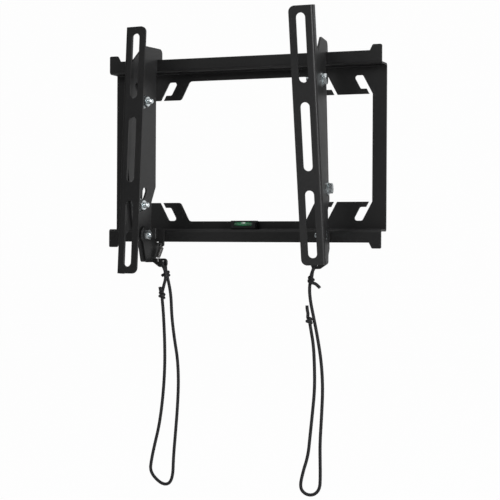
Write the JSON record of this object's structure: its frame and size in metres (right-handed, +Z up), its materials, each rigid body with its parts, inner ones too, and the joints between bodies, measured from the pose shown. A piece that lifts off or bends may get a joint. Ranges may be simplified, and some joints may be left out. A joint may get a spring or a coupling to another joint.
{
  "type": "tv wall mount",
  "caption": "Tilting wall mount for a flat screen: folded wall plate, sliding hook arms, slotted screen brackets, sprung latches with pull cords.",
  "frame": {"origin": "centre of the wall plate's back face, where it meets the wall", "axes": "+X along the rails to the right, +Y into the wall, +Z up"},
  "size_m": [0.3, 0.102, 0.4804],
  "materials": {
    "plate_paint": "matt black powder coat",
    "arm_paint": "matt black powder coat",
    "bracket_paint": "matt black powder coat",
    "latch_paint": "matt black powder coat",
    "zinc": "bright bluish zinc plate",
    "spring_wire": "drawn spring wire",
    "cord": "braided polyester cord",
    "level_body": "moulded black plastic",
    "level_vial": "clear acrylic with green fluid"
  },
  "bodies": {
    "wall_plate": {"wall_plate": "plate_paint", "level_housing": "level_body", "level_vial": "level_vial"},
    "left_arm": {"left_hook_arm": "arm_paint", "left_latch_pivot": "zinc", "left_latch_spring": "spring_wire"},
    "left_bracket": {"left_screen_bracket": "bracket_paint", "left_upper_tilt_bolt": "zinc", "left_upper_tilt_washer": "zinc", "left_upper_tilt_nut": "zinc", "left_lower_tilt_bolt": "zinc", "left_lower_tilt_washer": "zinc", "left_lower_tilt_nut": "zinc"},
    "left_latch": {"left_latch_pawl": "latch_paint", "left_pull_cord": "cord", "left_loop_knot": "cord"},
    "right_arm": {"right_hook_arm": "arm_paint", "right_latch_pivot": "zinc", "right_latch_spring": "spring_wire"},
    "right_bracket": {"right_screen_bracket": "bracket_paint", "right_upper_tilt_bolt": "zinc", "right_upper_tilt_washer": "zinc", "right_upper_tilt_nut": "zinc", "right_lower_tilt_bolt": "zinc", "right_lower_tilt_washer": "zinc", "right_lower_tilt_nut": "zinc"},
    "right_latch": {"right_latch_pawl": "latch_paint", "right_pull_cord": "cord", "right_eye_knot": "cord", "right_loop_knot": "cord"}
  },
  "joints": [
    {"name": "left_arm_slide", "type": "slide", "parent": "wall_plate", "child": "left_arm", "axis": [1, 0, 0], "range_m": [-0.041, 0.055]},
    {"name": "left_bracket_tilt", "type": "hinge", "parent": "left_arm", "child": "left_bracket", "pos_m": [-0.10919, -0.12013, 0], "axis": [0.993, -0.1184, 0], "range_deg": [0, 12.1]},
    {"name": "left_latch_turn", "type": "hinge", "parent": "left_arm", "child": "left_latch", "pos_m": [-0.09546, -0.04473, -0.088], "axis": [0.993, -0.1184, 0], "range_deg": [-15, 0], "stiffness_Nm_per_rad": 0.3, "springref_deg": 14.32, "deforming": ["left_latch_spring"]},
    {"name": "right_arm_slide", "type": "slide", "parent": "wall_plate", "child": "right_arm", "axis": [1, 0, 0], "range_m": [-0.056, 0.038]},
    {"name": "right_bracket_tilt", "type": "hinge", "parent": "right_arm", "child": "right_bracket", "pos_m": [0.11173, -0.11964, 0.00053], "axis": [0.9881, 0.1513, 0.0293], "range_deg": [-12.1, 0]},
    {"name": "right_latch_turn", "type": "hinge", "parent": "right_arm", "child": "right_latch", "pos_m": [0.09813, -0.04473, -0.08791], "axis": [0.9881, 0.1513, 0.0293], "range_deg": [-15, 0], "stiffness_Nm_per_rad": 0.3, "springref_deg": 14.32, "deforming": ["right_latch_spring"]}
  ]
}
